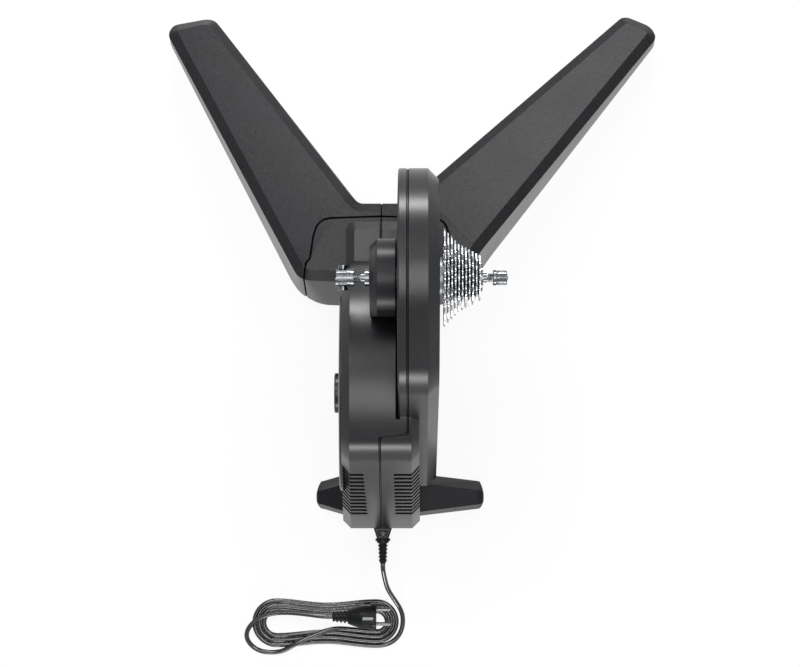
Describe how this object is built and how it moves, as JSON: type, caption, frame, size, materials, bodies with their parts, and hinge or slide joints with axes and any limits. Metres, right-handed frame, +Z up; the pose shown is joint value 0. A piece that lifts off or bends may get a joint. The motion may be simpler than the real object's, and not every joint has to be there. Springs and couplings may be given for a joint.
{
  "type": "direct drive bike trainer",
  "caption": "Indoor bike trainer with a drum-shaped flywheel housing, belt casing, cassette, quick release, splayed front legs, rear foot and coiled mains lead.",
  "frame": {"origin": "on the floor, under the middle of the trainer without its mains lead", "axes": "+Y to the front of the bike, +X to the drive side with the cassette, +Z up"},
  "size_m": [0.6396, 0.8351, 0.4601],
  "materials": {
    "charcoal_plastic": "fine-grained moulded charcoal plastic",
    "satin_plastic": "satin moulded dark grey plastic",
    "black_plastic": "moulded black plastic",
    "rubber": "matt black rubber",
    "cord_sheath": "smooth black cable sheath",
    "belt_rubber": "ribbed drive belt",
    "cast_aluminium": "cast and machined",
    "bearing_steel": "ground steel",
    "zinc_plated_steel": "zinc plated",
    "nickel_plated_steel": "bright nickel plate",
    "grey_iron": "turned grey iron",
    "circuit_laminate": "green circuit laminate"
  },
  "bodies": {
    "base": {"housing_left": "charcoal_plastic", "hub_left": "charcoal_plastic", "hub_right": "charcoal_plastic", "leg_left": "charcoal_plastic", "leg_right": "charcoal_plastic", "rear_foot": "charcoal_plastic", "housing_right": "satin_plastic", "side_cover": "satin_plastic", "cover_cap": "black_plastic", "casing_collar": "black_plastic", "power_inlet": "black_plastic", "cord_connector": "black_plastic", "mains_plug": "black_plastic", "leg_pad_left": "rubber", "leg_pad_right": "rubber", "rear_foot_pad_left": "rubber", "rear_foot_pad_right": "rubber", "cord_lead": "cord_sheath", "cord_loops": "cord_sheath", "cord_tail": "cord_sheath", "drive_belt": "belt_rubber", "main_frame": "cast_aluminium", "flywheel_bearing": "bearing_steel", "pulley_bearing": "bearing_steel", "freehub_bearing": "bearing_steel", "skewer_spring_left": "bearing_steel", "skewer_spring_right": "bearing_steel", "leg_beam_left": "zinc_plated_steel", "leg_beam_right": "zinc_plated_steel", "leg_bolt_left": "zinc_plated_steel", "leg_bolt_right": "zinc_plated_steel", "rear_foot_bolt": "zinc_plated_steel", "tensioner_bracket": "zinc_plated_steel", "hollow_axle": "nickel_plated_steel", "axle_locknut": "nickel_plated_steel", "skewer_rod": "nickel_plated_steel", "qr_barrel": "nickel_plated_steel", "qr_washer": "nickel_plated_steel", "brake_yoke": "grey_iron", "circuit_board": "circuit_laminate"},
    "pulley": {"drive_pulley": "cast_aluminium"},
    "freehub": {"freehub_body": "cast_aluminium", "cog_25t": "nickel_plated_steel", "cog_23t": "nickel_plated_steel", "cog_21t": "nickel_plated_steel", "cog_19t": "nickel_plated_steel", "cog_17t": "nickel_plated_steel", "cog_16t": "nickel_plated_steel", "cog_15t": "nickel_plated_steel", "cog_14t": "nickel_plated_steel", "cog_13t": "nickel_plated_steel", "cog_12t": "nickel_plated_steel", "cog_11t": "nickel_plated_steel", "cassette_lockring": "nickel_plated_steel"},
    "flywheel": {"flywheel_shaft": "bearing_steel", "flywheel": "grey_iron"},
    "roller": {"tensioner_roller": "bearing_steel"},
    "lever": {"qr_lever": "nickel_plated_steel", "cam_pin": "bearing_steel"},
    "skewer_nut": {"qr_nut": "nickel_plated_steel"}
  },
  "joints": [
    {"name": "flywheel_spin", "type": "hinge", "parent": "base", "child": "flywheel", "pos_m": [-0.03834, -0.15246, 0.178], "axis": [1, 0, 0], "continuous": true},
    {"name": "pulley_spin", "type": "hinge", "parent": "base", "child": "pulley", "pos_m": [-0.03834, -0.01946, 0.34], "axis": [1, 0, 0], "continuous": true},
    {"name": "freewheel", "type": "hinge", "parent": "pulley", "child": "freehub", "pos_m": [-0.03834, -0.01946, 0.34], "axis": [1, 0, 0], "continuous": true},
    {"name": "roller_spin", "type": "hinge", "parent": "base", "child": "roller", "pos_m": [-0.03834, -0.1595, 0.27934], "axis": [1, 0, 0], "continuous": true},
    {"name": "lever_cam", "type": "hinge", "parent": "base", "child": "lever", "pos_m": [-0.07534, -0.01946, 0.34], "axis": [0, 1, 0], "range_deg": [0, 180]},
    {"name": "nut_turn", "type": "hinge", "parent": "base", "child": "skewer_nut", "pos_m": [-0.03834, -0.01946, 0.34], "axis": [1, 0, 0], "continuous": true}
  ],
  "couplings": [
    {"joint": "pulley_spin", "follows": "flywheel_spin", "ratio": 0.15},
    {"joint": "roller_spin", "follows": "flywheel_spin", "ratio": -1.0714}
  ]
}
